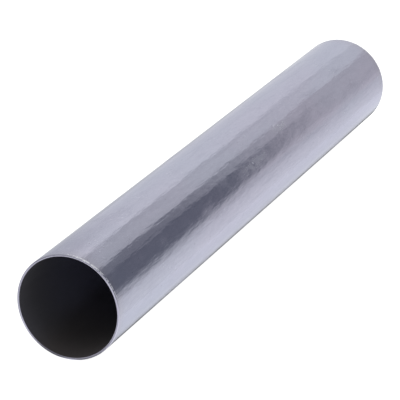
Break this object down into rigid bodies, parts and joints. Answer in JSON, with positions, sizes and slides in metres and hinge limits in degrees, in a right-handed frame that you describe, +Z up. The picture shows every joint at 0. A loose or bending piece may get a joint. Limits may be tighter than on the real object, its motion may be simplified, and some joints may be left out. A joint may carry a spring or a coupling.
{
  "type": "steel tube",
  "caption": "Thin-wall round steel tube, cut square and deburred at both ends, with a plain through bore. Raw stock for cutting, bending, welding or sleeving.",
  "frame": {"origin": "on the floor, under the middle of the tube's length", "axes": "+X along the tube, +Z up; the tube lies on its side on the plane Z = 0"},
  "size_m": [0.5, 0.07, 0.07],
  "materials": {
    "tube_steel": "bright satin outside with fine lengthwise draw lines; dull dark scale in the bore"
  },
  "bodies": {
    "root": {"tube": "tube_steel"}
  },
  "joints": []
}
